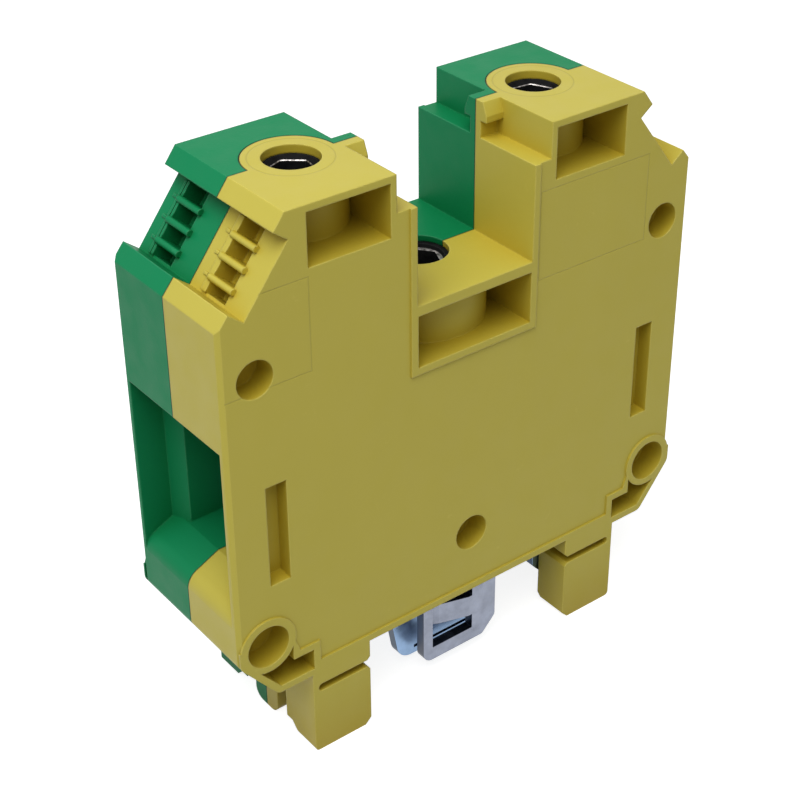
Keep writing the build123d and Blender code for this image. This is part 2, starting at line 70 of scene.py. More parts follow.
# Places of the block's own features that the mould lines follow
SCREW_X = 17.65 * MM
TUBE_RADIUS = 5.7 * MM
TUBE_BOTTOM = 57.45 * MM
ROUND_JOINT_RADIUS = TUBE_RADIUS + 0.025 * MM
RING_RADIUS = 4.9 * MM
FLAT_FACE = 10.7 * MM
TOWER_TOP = 64.9 * MM
INSERT_CENTRES = ((18.7 * MM, 50.6 * MM), (-32.0 * MM, 50.6 * MM))
INSERT_HALF = (8.8 * MM, 5.85 * MM)

# Patterns of the moulded surface: the coarse grain against the fine one, and scales per metre
COARSE_SCALE = 0.12
COARSE_HEIGHT = 1.6
FLOW_SCALE = 95.0
FLOW_DRAW = (1.0, 1.0, 0.35)
SPOT_SCALE = 900.0
PATCH_SCALE = 120.0

# Strengths of what the moulded surface shows
FLOW_SHADE = 0.05
RUB_SHADE = 0.2
INSERT_SHADE = 0.15
JOINT_SHADE = 0.75
LINE_SINK = 2.5
PLASTIC_IOR = 1.5

# Share of its red, green and blue that each half keeps where its hollows are painted in shade, and
# its sheen
HALVES = (
    ("yellow", (0.75, 0.61, 0.08), 0.24),
    ("green", (0.2, 0.52, 0.30), 0.1),
)

# Platings: material, colour setting, drawn lines, how dark sheared edges are painted, partly as
# cut-edge colour and partly as painted shade, which also turns on painted shade in hollows, nodes
PLATINGS = (
    ("zinc plating", "zinc", 0.6, 0.0,
     ("clamp_cage_left", "clamp_cage_right", "clamp_block", "foot_washer", "foot_lock_washer")),
    ("bright zinc plating", "bright_zinc", 0.8, 0.7, ("foot_frame",)),
    ("claw plate zinc", "zinc", 0.6, 0.9, ("claw_plate_front", "claw_plate_rear")),
    ("tin plating", "tin", 0.9, 0.0, ("current_bar", "contact_sleeve")),
)
# Painted shade in the hollows of blanked plates: how far it reaches and how dark it gets
PLATE_HOLLOW_SHADE_REACH = 1.8 * MM
PLATE_HOLLOW_SHADE = 0.7

# Patterns of the metals: scales per metre, and the depths of the fine relief
PIT_SCALE = 5200.0
LINE_SCALE = 6500.0
LINE_DRAW = (0.06, 1.0, 1.0)
PLATING_RELIEF = 0.004 * MM
OXIDE_RELIEF = 0.005 * MM
WORN_RELIEF = 0.006 * MM

# Screw meshes
SEGMENTS = 48
KNURLS = 96
MERGE_DISTANCE = 0.0005 * MM
SHARP_ANGLE = math.radians(34)

# Thread profile: rise as a share of the pitch, and whether the point is at the thread's root
THREAD_PROFILE = ((0.0, True), (0.38, False), (0.50, False), (0.88, True))
CHAMFER = 0.6 * MM
TIP_CENTRE = 0.4
CLAMP_PITCH = 1.25 * MM
CLAMP_SOCKET_DEPTH = 4.5 * MM

# Foot screw
FOOT_PITCH = 1.0 * MM
FOOT_THREAD_DEPTH = 0.36 * MM
FOOT_THREAD_LENGTH = 24.0 * MM
FOOT_SOCKET_DEPTH = 3.0 * MM
SHANK_RADIUS = 3.0 * MM
HEAD_HEIGHT = 6.0 * MM
HEAD_FOOT_BEVEL = 0.3 * MM
HEAD_TOP_BEVEL = 0.5 * MM
HEAD_RIM = 0.9 * MM
KNURL_DEPTH = 0.16 * MM
KNURL_START = 0.5 * MM
KNURL_END = 0.8 * MM

# Socket: radii as shares of its width across flats, and the band of faces that the key wears
CONE_RADIUS = 0.64
ROUND_LIP_RADIUS = 0.598
HEXAGON_LIP_WIDTH = 1.035
DRILL_RADIUS = 0.42
DRILL_TIP_RADIUS = 0.03
DRILL_TIP_DEPTH = 1.1 * MM
LIP_HEIGHT = 0.1 * MM
WORN_BAND = 2

# Studio, in metres
FLOOR_HALF = 3.0
KEY_PLACE, KEY_SIZE = (-0.155, -0.10, 0.40), (0.35, 0.35)
FILL_PLACE, FILL_SIZE = (0.12, -0.40, 0.18), (0.35, 0.3)
SENSOR_MM = 36.0
CLIP_NEAR, CLIP_FAR = 0.005, 20.0


# Properties

class BLOCK_PG_mouldings(bpy.types.PropertyGroup):
    """Colours and surface of the two moulded halves."""

    yellow: bpy.props.FloatVectorProperty(
        name="Yellow", description="Colour of the front half", subtype="COLOR", size=3,
        min=0, max=1, default=(0.612, 0.525, 0.082))
    green: bpy.props.FloatVectorProperty(
        name="Green", description="Colour of the rear half", subtype="COLOR", size=3,
        min=0, max=1, default=(0.006, 0.25, 0.094))
    grain_size: bpy.props.FloatProperty(
        name="Grain Size", description="Size of the mould's fine texture",
        default=0.35 * MM, min=0.05 * MM, max=5 * MM,
        unit="LENGTH", subtype="DISTANCE", precision=5)
    grain_depth: bpy.props.FloatProperty(
        name="Grain Depth", description="Depth of the mould's fine texture",
        default=0.012 * MM, min=0, max=0.2 * MM,
        unit="LENGTH", subtype="DISTANCE", precision=6)
    edge_radius: bpy.props.FloatProperty(
        name="Edge Radius", description="Rounding that the moulded edges show",
        default=0.28 * MM, min=0, max=2 * MM,
        unit="LENGTH", subtype="DISTANCE", precision=5)
    # Outer edges painted pale: partly scuffing, partly painted highlight
    edge_scuff_and_highlight: bpy.props.FloatProperty(
        name="Edge Scuff And Highlight", description="How pale the outer edges are",
        default=0.8, min=0, max=1, subtype="FACTOR")
    # Painted shade: the deeper colour painted into the hollows of the mouldings
    hollow_shade_reach: bpy.props.FloatProperty(
        name="Hollow Shade Reach",
        description="How near walls stand where the plastic looks deeper in colour",
        default=13.0 * MM, min=1 * MM, max=50 * MM,
        unit="LENGTH", subtype="DISTANCE", precision=4)
    hollow_shade_depth: bpy.props.FloatProperty(
        name="Hollow Shade Depth", description="How much deeper the colour gets in hollows",
        default=0.75, min=0, max=1, subtype="FACTOR")
    line_width: bpy.props.FloatProperty(
        name="Line Width", description="Width of the parting line and of the mould insert lines",
        default=0.13 * MM, min=0, max=1 * MM,
        unit="LENGTH", subtype="DISTANCE", precision=5)


class BLOCK_PG_metals(bpy.types.PropertyGroup):
    """Colours and surface of the screws, cages and rail foot."""

    zinc: bpy.props.FloatVectorProperty(
        name="Zinc", description="Colour of the zinc plating", subtype="COLOR", size=3,
        min=0, max=1, default=(0.27, 0.40, 0.60))
    tin: bpy.props.FloatVectorProperty(
        name="Tin", description="Colour of the tin plating on the copper parts",
        subtype="COLOR", size=3, min=0, max=1, default=(0.66, 0.65, 0.62))
    black: bpy.props.FloatVectorProperty(
        name="Black", description="Colour of the black oxide on the screws",
        subtype="COLOR", size=3, min=0, max=1, default=(0.005, 0.005, 0.0055))
    worn: bpy.props.FloatVectorProperty(
        name="Worn", description="Colour of bare steel where the black has worn",
        subtype="COLOR", size=3, min=0, max=1, default=(0.42, 0.39, 0.37))
    bright_zinc: bpy.props.FloatVectorProperty(
        name="Bright Zinc", description="Colour of the plating on the foot bracket",
        subtype="COLOR", size=3, min=0, max=1, default=(0.262, 0.286, 0.358))
    edge_radius: bpy.props.FloatProperty(
        name="Edge Radius", description="Rounding that the metal edges show",
        default=0.12 * MM, min=0, max=1 * MM,
        unit="LENGTH", subtype="DISTANCE", precision=5)


class BLOCK_PG_screws(bpy.types.PropertyGroup):
    """Sizes of the threads and sockets on the three screws."""

    thread_depth: bpy.props.FloatProperty(
        name="Thread Depth", description="Depth of the thread on the clamp screws",
        default=0.45 * MM, min=0, max=1 * MM,
        unit="LENGTH", subtype="DISTANCE", precision=5)
    socket: bpy.props.FloatProperty(
        name="Socket", description="Hexagon socket across its flats",
        default=5.0 * MM, min=1 * MM, max=8 * MM,
        unit="LENGTH", subtype="DISTANCE", precision=5)
    countersink: bpy.props.FloatProperty(
        name="Countersink", description="Depth of the cone above the socket",
        default=0.45 * MM, min=0, max=2 * MM,
        unit="LENGTH", subtype="DISTANCE", precision=5)
    turn_left: bpy.props.FloatProperty(
        name="Turn Left", description="Angle of the left socket's first corner",
        default=math.radians(21), subtype="ANGLE", unit="ROTATION")
    turn_right: bpy.props.FloatProperty(
        name="Turn Right", description="Angle of the right socket's first corner",
        default=math.radians(-5), subtype="ANGLE", unit="ROTATION")
    turn_foot: bpy.props.FloatProperty(
        name="Turn Foot", description="Angle of the foot screw socket's first corner",
        default=math.radians(8), subtype="ANGLE", unit="ROTATION")


class BLOCK_PG_studio(bpy.types.PropertyGroup):
    """Floor, lamps and camera."""

    floor: bpy.props.FloatVectorProperty(
        name="Floor", description="Colour of the floor", subtype="COLOR", size=3,
        min=0, max=1, default=(0.55, 0.55, 0.55))
    floor_white: bpy.props.FloatProperty(
        name="Floor White",
        description="White that the camera and reflections see on top of the lit floor",
        default=0.86, min=0, max=1)
    key: bpy.props.FloatProperty(
        name="Key", description="Power of the lamp above and to the left",
        default=1.6, min=0, max=50, unit="POWER")
    fill: bpy.props.FloatProperty(
        name="Fill", description="Power of the lamp beside the camera",
        default=0.02, min=0, max=50, unit="POWER")
    sky: bpy.props.FloatProperty(
        name="Sky", description="Strength of the even light from all round",
        default=0.22, min=0, max=5)
    lens: bpy.props.FloatProperty(
        name="Lens", description="Focal length for a 36 mm sensor",
        default=77.9, min=10, max=300, unit="CAMERA")
    yaw: bpy.props.FloatProperty(
        name="Yaw", description="Camera's turn to the right of straight behind",
        default=math.radians(38.783), subtype="ANGLE", unit="ROTATION")
    pitch: bpy.props.FloatProperty(
        name="Pitch", description="Camera's tilt below the horizon",
        default=math.radians(30.671), subtype="ANGLE", unit="ROTATION")
    roll: bpy.props.FloatProperty(
        name="Roll", description="Camera's roll",
        default=math.radians(0.241), subtype="ANGLE", unit="ROTATION")
    eye: bpy.props.FloatVectorProperty(
        name="Eye", description="Camera's place", default=(-0.11351, -0.14551, 0.14459),
        size=3, subtype="TRANSLATION", unit="LENGTH", precision=5)
    shift: bpy.props.FloatVectorProperty(
        name="Shift", description="Framing shift in parts of the picture's width",
        default=(-0.05, -0.075), size=2, precision=4)


# Shader tools

def new_material(name):
    """An empty material and its Principled shader."""
    material = bpy.data.materials.new(name)
    material.use_nodes = True
    tree = material.node_tree
    tree.nodes.clear()
    output = tree.nodes.new("ShaderNodeOutputMaterial")
    shader = tree.nodes.new("ShaderNodeBsdfPrincipled")
    tree.links.new(shader.outputs["BSDF"], output.inputs["Surface"])
    return material, shader


def new_group(name, inputs, outputs):
    """An empty shader node group with number inputs and named outputs, and its two end nodes."""
    group = bpy.data.node_groups.new(name, "ShaderNodeTree")
    for label, default in inputs.items():
        item = group.interface.new_socket(
            name=label, in_out="INPUT", socket_type="NodeSocketFloat")
        item.default_value = default
    for label in outputs:
        kind = "NodeSocketVector" if label == "Normal" else "NodeSocketFloat"
        group.interface.new_socket(name=label, in_out="OUTPUT", socket_type=kind)
    return group, group.nodes.new("NodeGroupInput"), group.nodes.new("NodeGroupOutput")


def link_outputs(group, result, **values):
    """Links values to the group outputs that bear their names."""
    for label, value in values.items():
        group.links.new(value, result.inputs[label])


def math_node(tree, operation, first, second=None, clamp=False):
    """A Math node with its inputs linked or set."""
    node = tree.nodes.new("ShaderNodeMath")
    node.operation = operation
    node.use_clamp = clamp
    for socket, value in zip(node.inputs, (first, second)):
        if value is None:
            continue
        if isinstance(value, (int, float)):
            socket.default_value = value
        else:
            tree.links.new(value, socket)
    return node.outputs[0]


def times(tree, first, second):
    """One value times another."""
    return math_node(tree, "MULTIPLY", first, second)


def minus(tree, first, second):
    """One value less another."""
    return math_node(tree, "SUBTRACT", first, second)


def noise(tree, place, scale, detail=2.0, rough=0.5):
    """A Noise node read at a place, with its scale per metre linked or set."""
    node = tree.nodes.new("ShaderNodeTexNoise")
    node.inputs["Detail"].default_value = detail
    node.inputs["Roughness"].default_value = rough
    tree.links.new(place, node.inputs["Vector"])
    if isinstance(scale, (int, float)):
        node.inputs["Scale"].default_value = scale
    else:
        tree.links.new(scale, node.inputs["Scale"])
    return node.outputs["Fac"]


def stretched(tree, place, scale):
    """A place scaled along each axis, so that a pattern read there is drawn out."""
    node = tree.nodes.new("ShaderNodeMapping")
    node.inputs["Scale"].default_value = scale
    tree.links.new(place, node.inputs["Vector"])
    return node.outputs["Vector"]


def ramp(tree, value, low, high, low_to=0.0, high_to=1.0):
    """A Map Range node from one span to another."""
    node = tree.nodes.new("ShaderNodeMapRange")
    for socket, number in zip(node.inputs[1:5], (low, high, low_to, high_to)):
        socket.default_value = number
    tree.links.new(value, node.inputs["Value"])
    return node.outputs["Result"]


def mix_colours(tree, factor, first, second):
    """A colour Mix node with a linked factor, and its colours linked or set."""
    node = tree.nodes.new("ShaderNodeMix")
    node.data_type = "RGBA"
    factor_in, first_in, second_in = node.inputs[0], node.inputs[6], node.inputs[7]
    tree.links.new(factor, factor_in)
    for socket, value in ((first_in, first), (second_in, second)):
        if isinstance(value, bpy.types.NodeSocket):
            tree.links.new(value, socket)
        else:
            socket.default_value = (*value, 1.0)
    return node.outputs[2]


def toned(colour, factor, lift=0.0):
    """A colour made darker or lighter."""
    return tuple(min(1.0, c * factor + lift) for c in colour)


def rounded_edges_group(name):
    """Softens hard edges and marks them: gives a normal and an edge mask."""
    group, given, result = new_group(name, {"Radius": 0.2 * MM}, ("Normal", "Edge"))
    bevel = group.nodes.new("ShaderNodeBevel")
    bevel.samples = 6
    group.links.new(given.outputs["Radius"], bevel.inputs["Radius"])
    surface = group.nodes.new("ShaderNodeNewGeometry")
    compare = group.nodes.new("ShaderNodeVectorMath")
    compare.operation = "DOT_PRODUCT"
    group.links.new(bevel.outputs["Normal"], compare.inputs[0])
    group.links.new(surface.outputs["Normal"], compare.inputs[1])
    edge = ramp(group, compare.outputs["Value"], low=0.985, high=0.80)
    link_outputs(group, result, Normal=bevel.outputs["Normal"], Edge=edge)
    return group


def hollows_group(name):
    """Two masks: 1 on outer edges and open faces, which bounds the painted edge highlight, and 1
    deep in a hollow, where painted shade goes.
    """
    group, given, result = new_group(name, {"Reach": 9.0 * MM}, ("Outer", "Hollow"))
    near = group.nodes.new("ShaderNodeAmbientOcclusion")
    near.samples = 8
    near.only_local = True
    near.inputs["Distance"].default_value = 0.5 * MM
    wide = group.nodes.new("ShaderNodeAmbientOcclusion")
    wide.samples = 10
    group.links.new(given.outputs["Reach"], wide.inputs["Distance"])
    link_outputs(group, result, Outer=ramp(group, near.outputs["AO"], low=0.88, high=0.98),
                 Hollow=ramp(group, wide.outputs["AO"], low=0.92, high=0.30))
    return group


def moulding_group(name):
    """Moulded polyamide: fine grain, slow flow shading and small rubbed spots."""
    group, given, result = new_group(
        name, {"Grain Size": 0.3 * MM, "Flow": 0.5}, ("Height", "Shade", "Rub", "Roughness"))
    place = group.nodes.new("ShaderNodeTexCoord").outputs["Object"]
    fine_scale = math_node(group, "DIVIDE", 1.0, given.outputs["Grain Size"])
    fine = noise(group, place, fine_scale, detail=3.0, rough=0.6)
    coarse_scale = times(group, fine_scale, COARSE_SCALE)
    coarse = noise(group, place, coarse_scale)
    height = math_node(group, "ADD", fine, times(group, coarse, COARSE_HEIGHT))
    flow_place = stretched(group, place, FLOW_DRAW)
    flow = noise(group, flow_place, FLOW_SCALE, detail=3.0, rough=0.55)
    flow_shade = ramp(group, flow, low=0.3, high=0.7, low_to=-1.0, high_to=1.0)
    shade = times(group, flow_shade, given.outputs["Flow"])
    spots = ramp(group, noise(group, place, SPOT_SCALE), low=0.66, high=0.78)
    patches = ramp(group, noise(group, place, PATCH_SCALE, detail=1.0), low=0.52, high=0.68)
    rub = times(group, spots, patches)
    rough = ramp(group, coarse, low=0.3, high=0.7, low_to=0.40, high_to=0.50)
    link_outputs(group, result, Height=height, Shade=shade, Rub=rub, Roughness=rough)
    return group


def line_at(tree, distance, width):
    """A mask that is 1 where a distance is near zero and fades out over a width."""
    share = math_node(tree, "DIVIDE", math_node(tree, "ABSOLUTE", distance), width)
    return ramp(tree, share, low=0.35, high=1.0, low_to=1.0, high_to=0.0)


def frame_line(tree, across, upward, centre, half, width):
    """A thin rectangular line in a flat face, from its centre and half sizes."""
    sides = []
    for value, middle, reach in zip((across, upward), centre, half):
        offset = math_node(tree, "ABSOLUTE", minus(tree, value, middle))
        sides.append(minus(tree, offset, reach))
    return line_at(tree, math_node(tree, "MAXIMUM", *sides), width)


def mould_lines_group(name):
    """Lines that the mould leaves: the joint of the two halves, and the edges of inserts."""
    group, given, result = new_group(name, {"Width": 0.1 * MM}, ("Joint", "Insert"))
    width = given.outputs["Width"]
    place = group.nodes.new("ShaderNodeTexCoord").outputs["Object"]
    split = group.nodes.new("ShaderNodeSeparateXYZ")
    group.links.new(place, split.inputs[0])
    x, y, z = split.outputs
    from_screw = minus(group, math_node(group, "ABSOLUTE", x), SCREW_X)
    squares = [times(group, value, value) for value in (from_screw, y)]
    radius = math_node(group, "SQRT", math_node(group, "ADD", *squares))

    # The joint runs along the middle and goes round the back of each screw tube
    beside = math_node(group, "GREATER_THAN", radius, TUBE_RADIUS)
    below = math_node(group, "LESS_THAN", z, TUBE_BOTTOM)
    clear = math_node(group, "MAXIMUM", beside, below)
    straight = times(group, line_at(group, y, width), clear)
    behind = times(group, math_node(group, "GREATER_THAN", y, 0.0),
                   math_node(group, "GREATER_THAN", z, TUBE_BOTTOM))
    round_joint = line_at(group, minus(group, radius, ROUND_JOINT_RADIUS), width)
    joint = math_node(group, "MAXIMUM", straight, times(group, round_joint, behind))

    # Inserts show as frames on the flat faces and as a ring round each screw hole
    flat = math_node(group, "GREATER_THAN", math_node(group, "ABSOLUTE", y), FLAT_FACE)
    frames = [frame_line(group, x, z, centre, INSERT_HALF, width) for centre in INSERT_CENTRES]
    framed = times(group, math_node(group, "MAXIMUM", *frames), flat)
    ring = line_at(group, minus(group, radius, RING_RADIUS), width)
    top = math_node(group, "GREATER_THAN", z, TOWER_TOP)
    insert = math_node(group, "MAXIMUM", framed, times(group, ring, top))
    link_outputs(group, result, Joint=joint, Insert=insert)
    return group


def plating_group(name):
    """Plated steel: clouded tone, tiny pits and drawn lines."""
    group, given, result = new_group(
        name, {"Cloud Size": 3.0 * MM, "Line Strength": 0.5}, ("Height", "Cloud", "Roughness"))
    place = group.nodes.new("ShaderNodeTexCoord").outputs["Object"]
    cloud_scale = math_node(group, "DIVIDE", 1.0, given.outputs["Cloud Size"])
    cloud = noise(group, place, cloud_scale, detail=4.0, rough=0.6)
    pits = noise(group, place, PIT_SCALE)
    lines = noise(group, stretched(group, place, LINE_DRAW), LINE_SCALE, rough=0.6)
    drawn = times(group, lines, given.outputs["Line Strength"])
    height = math_node(group, "ADD", pits, drawn)
    tone = ramp(group, cloud, low=0.3, high=0.7)
    rough = ramp(group, cloud, low=0.3, high=0.7, low_to=0.26, high_to=0.40)
    link_outputs(group, result, Height=height, Cloud=tone, Roughness=rough)
    return group


def place_group(tree, name, maker, **values):
    """Puts a shared group in a material, makes it if it is the first, and sets its inputs."""
    group = bpy.data.node_groups.get(name) or maker(name)
    node = tree.nodes.new("ShaderNodeGroup")
    node.node_tree = group
    for label, value in values.items():
        node.inputs[label.replace("_", " ")].default_value = value
    return node


def rounded_edges(tree, radius):
    """The Rounded Edges group with its radius."""
    return place_group(tree, "Rounded Edges", rounded_edges_group, Radius=radius)


def sheltered_hollows(tree, reach):
    """The Sheltered Hollows group with its reach."""
    return place_group(tree, "Sheltered Hollows", hollows_group, Reach=reach)


def plated_surface(tree, cloud_size, line_strength):
    """The Plated Surface group with its cloud size and drawn lines."""
    return place_group(tree, "Plated Surface", plating_group, Cloud_Size=cloud_size,
                       Line_Strength=line_strength)


def finish_shader(tree, shader, colour, rough, height, relief, normal):
    """Links colour and roughness to a shader, and its relief as bump over a normal."""
    tree.links.new(colour, shader.inputs["Base Color"])
    tree.links.new(rough, shader.inputs["Roughness"])
    bump = tree.nodes.new("ShaderNodeBump")
    bump.inputs["Strength"].default_value = 1.0
    bump.inputs["Distance"].default_value = relief
    tree.links.new(height, bump.inputs["Height"])
    tree.links.new(normal, bump.inputs["Normal"])
    tree.links.new(bump.outputs["Normal"], shader.inputs["Normal"])


def moulded_plastic(name, colour, hollow_shade_share, sheen, settings):
    """Polyamide in one colour, with outer edges painted pale, partly scuffing and partly painted
    highlight, and painted shade, a deeper colour, in its hollows.
    """
    material, shader = new_material(name)
    tree = material.node_tree
    edges = rounded_edges(tree, settings.edge_radius)
    skin = place_group(tree, "Moulded Surface", moulding_group,
                       Grain_Size=settings.grain_size, Flow=FLOW_SHADE)
    lines = place_group(tree, "Mould Lines", mould_lines_group, Width=settings.line_width)
    hollows = sheltered_hollows(tree, settings.hollow_shade_reach)
    dark, pale = toned(colour, 0.12), toned(colour, 1.2, lift=0.06)
    darker, lighter = toned(colour, 0.88), toned(colour, 1.08, lift=0.003)
    # Painted shade: the darker, deeper colour that hollows are painted
    deep = tuple(c * share for c, share in zip(colour, hollow_shade_share))

    tone = math_node(tree, "ADD", skin.outputs["Shade"], 0.5, clamp=True)
    open_base = mix_colours(tree, tone, darker, lighter)
    # Painted shade in the hollows, from how near other walls stand
    depth = times(tree, hollows.outputs["Hollow"], settings.hollow_shade_depth)
    base = mix_colours(tree, depth, open_base, deep)
    scuffed = mix_colours(tree, times(tree, skin.outputs["Rub"], RUB_SHADE), base, pale)
    # Painted highlight, partly scuffing: outer convex edges painted pale
    outer = times(tree, edges.outputs["Edge"], hollows.outputs["Outer"])
    edge_highlighted = mix_colours(tree, times(tree, outer, settings.edge_scuff_and_highlight), scuffed, pale)
    insert = times(tree, lines.outputs["Insert"], INSERT_SHADE)
    joint = times(tree, lines.outputs["Joint"], JOINT_SHADE)
    lined = mix_colours(tree, joint, mix_colours(tree, insert, edge_highlighted, dark), dark)

    sunk = times(tree, math_node(tree, "MAXIMUM", *lines.outputs), LINE_SINK)
    height = minus(tree, skin.outputs["Height"], sunk)
    finish_shader(tree, shader, lined, skin.outputs["Roughness"], height, settings.grain_depth,
                  edges.outputs["Normal"])
    shader.inputs["IOR"].default_value = PLASTIC_IOR
    shader.inputs["Specular IOR Level"].default_value = sheen
    return material


def plated_metal(name, colour, line_strength, sheared_edge_shade, settings):
    """Bright plated metal with clouded tone and a painted highlight on its edges; on flat blanked
    plates, sheared edges painted dark, partly as cut-edge colour and partly as painted shade, and
    painted shade in hollows.
    """
    material, shader = new_material(name)
    tree = material.node_tree
    edges = rounded_edges(tree, settings.edge_radius)
    skin = plated_surface(tree, cloud_size=2.4 * MM, line_strength=line_strength)
    sheared_edge_shade_tone, dull, bright = (toned(colour, factor) for factor in (0.13, 0.74, 1.12))
    base = mix_colours(tree, skin.outputs["Cloud"], dull, bright)
    # Painted highlight: edges painted in the bright tone
    plate = mix_colours(tree, edges.outputs["Edge"], base, bright)
    if sheared_edge_shade:
        # Sheared edges painted dark, partly cut-edge colour and partly painted shade, and painted
        # shade in hollows
        facing = tree.nodes.new("ShaderNodeSeparateXYZ")
        tree.links.new(tree.nodes.new("ShaderNodeTexCoord").outputs["Normal"], facing.inputs[0])
        cut_edge_shade = ramp(tree, math_node(tree, "ABSOLUTE", facing.outputs["Y"]),
                   low=0.93, high=0.5, low_to=0.0, high_to=sheared_edge_shade)
        hollows = sheltered_hollows(tree, PLATE_HOLLOW_SHADE_REACH)
        hollow = times(tree, hollows.outputs["Hollow"], PLATE_HOLLOW_SHADE)
        shaded = math_node(tree, "MAXIMUM", cut_edge_shade, hollow)
        plate = mix_colours(tree, shaded, plate, sheared_edge_shade_tone)
    finish_shader(tree, shader, plate, skin.outputs["Roughness"], skin.outputs["Height"],
                  PLATING_RELIEF, edges.outputs["Normal"])
    shader.inputs["Metallic"].default_value = 1.0
    return material


def black_steel(name, settings):
    """Black oxide steel with a faint cloud and rubbed edges."""
    material, shader = new_material(name)
    tree = material.node_tree
    edges = rounded_edges(tree, radius=0.1 * MM)
    skin = plated_surface(tree, cloud_size=1.2 * MM, line_strength=0.3)
    black = tuple(settings.black)
    clouded, rubbed = (toned(black, 1.0, lift) for lift in (0.008, 0.05))
    base = mix_colours(tree, skin.outputs["Cloud"], black, clouded)
    oxide = mix_colours(tree, edges.outputs["Edge"], base, rubbed)
    rough = ramp(tree, skin.outputs["Cloud"], low=0.0, high=1.0, low_to=0.50, high_to=0.68)
    finish_shader(tree, shader, oxide, rough, skin.outputs["Height"], OXIDE_RELIEF,
                  edges.outputs["Normal"])
    shader.inputs["Specular IOR Level"].default_value = 0.04
    return material


def worn_steel(name, settings):
    """Steel rubbed bare by the key, with black left in patches."""
    material, shader = new_material(name)
    tree = material.node_tree
    skin = plated_surface(tree, cloud_size=0.5 * MM, line_strength=0.8)
    worn = tuple(settings.worn)
    still_black = toned(worn, 0.22)
    patches = ramp(tree, skin.outputs["Cloud"], low=0.25, high=0.75)
    bare = mix_colours(tree, patches, still_black, worn)
    surface = tree.nodes.new("ShaderNodeNewGeometry")
    finish_shader(tree, shader, bare, skin.outputs["Roughness"], skin.outputs["Height"],
                  WORN_RELIEF, surface.outputs["Normal"])
    shader.inputs["Metallic"].default_value = 1.0
    return material


def dress(nodes, material):
    """Gives CAD nodes a material."""
    for node in nodes:
        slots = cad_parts[node].data.materials
        slots.clear()
        slots.append(material)


# Screws

def circle(radius, height, count=SEGMENTS):
    """Points round an upright axis."""
    steps = [math.tau * i / count for i in range(count)]
    return [(radius * math.cos(a), radius * math.sin(a), height) for a in steps]


def knurled(radius, height):
    """Points round a knurled head, out and in by turns."""
    crests = circle(radius, height, KNURLS)
    grooves = circle(radius - KNURL_DEPTH, height, KNURLS)
    return [grooves[i] if i % 2 else crests[i] for i in range(KNURLS)]


def hexagon(across, turn, height):
    """Points round a hexagon, at the same angles as a circle's."""
    points = []
    for i in range(SEGMENTS):
        angle = math.tau * i / SEGMENTS
        off_flat = (angle - turn) % (math.tau / 6) - math.tau / 12
        radius = across / 2 / math.cos(off_flat)
        points.append((radius * math.cos(angle), radius * math.sin(angle), height))
    return points


def skin_rings(shape, rings, close_last=True, worn_band=None):
    """Joins rings of points with faces, closes the last ring and marks one band as worn."""
    made = [[shape.verts.new(point) for point in ring] for ring in rings]
    for band, (lower, upper) in enumerate(zip(made, made[1:])):
        for i in range(len(lower)):
            j = (i + 1) % len(lower)
            face = shape.faces.new((lower[i], lower[j], upper[j], upper[i]))
            face.material_index = int(band == worn_band)
    if close_last:
        shape.faces.new(made[-1])


def cut_thread(shape, radius, depth, pitch, low, high):
    """A helical thread between two heights, tapered at both ends."""
    turns = math.ceil((high - low) / pitch) + 1
    rows = []
    for i in range(-SEGMENTS, turns * SEGMENTS + 1):
        angle = math.tau * i / SEGMENTS
        row = []
        for rise, at_root in THREAD_PROFILE:
            out = radius - depth if at_root else radius
            height = min(max(low + pitch * (i / SEGMENTS + rise), low), high)
            reach = min(out, radius - CHAMFER + min(height - low, high - height))
            row.append(shape.verts.new((reach * math.cos(angle), reach * math.sin(angle), height)))
        rows.append(row)
    for i in range(len(rows) - SEGMENTS - 1):
        first = rows[i] + [rows[i + SEGMENTS][0]]
        second = rows[i + 1] + [rows[i + 1 + SEGMENTS][0]]
        for a, b, c, d in zip(first, second, second[1:], first[1:]):
            shape.faces.new((a, b, c, d))


def close_tip(shape, radius, low):
    """Closes the lower end of a thread with a flat face."""
    skin_rings(shape, [circle(radius - CHAMFER, low), circle(radius * TIP_CENTRE, low)])


def cut_socket(shape, settings, turn, rim, top, depth, round_lip=False):
    """A flat rim, a shallow cone, the lip that the key wears, a hexagon socket and its bottom."""
    width = settings.socket
    mouth = top - settings.countersink
    floor = top - depth
    if round_lip:
        lip = circle(width * ROUND_LIP_RADIUS, mouth)
    else:
        lip = hexagon(width * HEXAGON_LIP_WIDTH, turn, mouth)
    rings = [circle(rim, top), circle(width * CONE_RADIUS, top), lip,
             hexagon(width, turn, mouth - LIP_HEIGHT), hexagon(width, turn, floor),
             circle(width * DRILL_RADIUS, floor),
             circle(width * DRILL_TIP_RADIUS, floor - DRILL_TIP_DEPTH)]
    skin_rings(shape, rings, worn_band=WORN_BAND)


def finish_screw(shape, name, node, body, place, materials):
    """Makes a screw's mesh an object that rides with its body and stands for its node."""
    bmesh.ops.remove_doubles(shape, verts=shape.verts, dist=MERGE_DISTANCE)
    bmesh.ops.recalc_face_normals(shape, faces=shape.faces)
    mesh = bpy.data.meshes.new(name)
    shape.to_mesh(mesh)
    shape.free()
    mesh.shade_smooth()
    mesh.set_sharp_from_angle(angle=SHARP_ANGLE)
    for material in materials:
        mesh.materials.append(material)
    screw = bpy.data.objects.new(name, mesh)
    screw.location = place
    bpy.context.scene.collection.objects.link(screw)
    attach(screw, body)
    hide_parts(node)


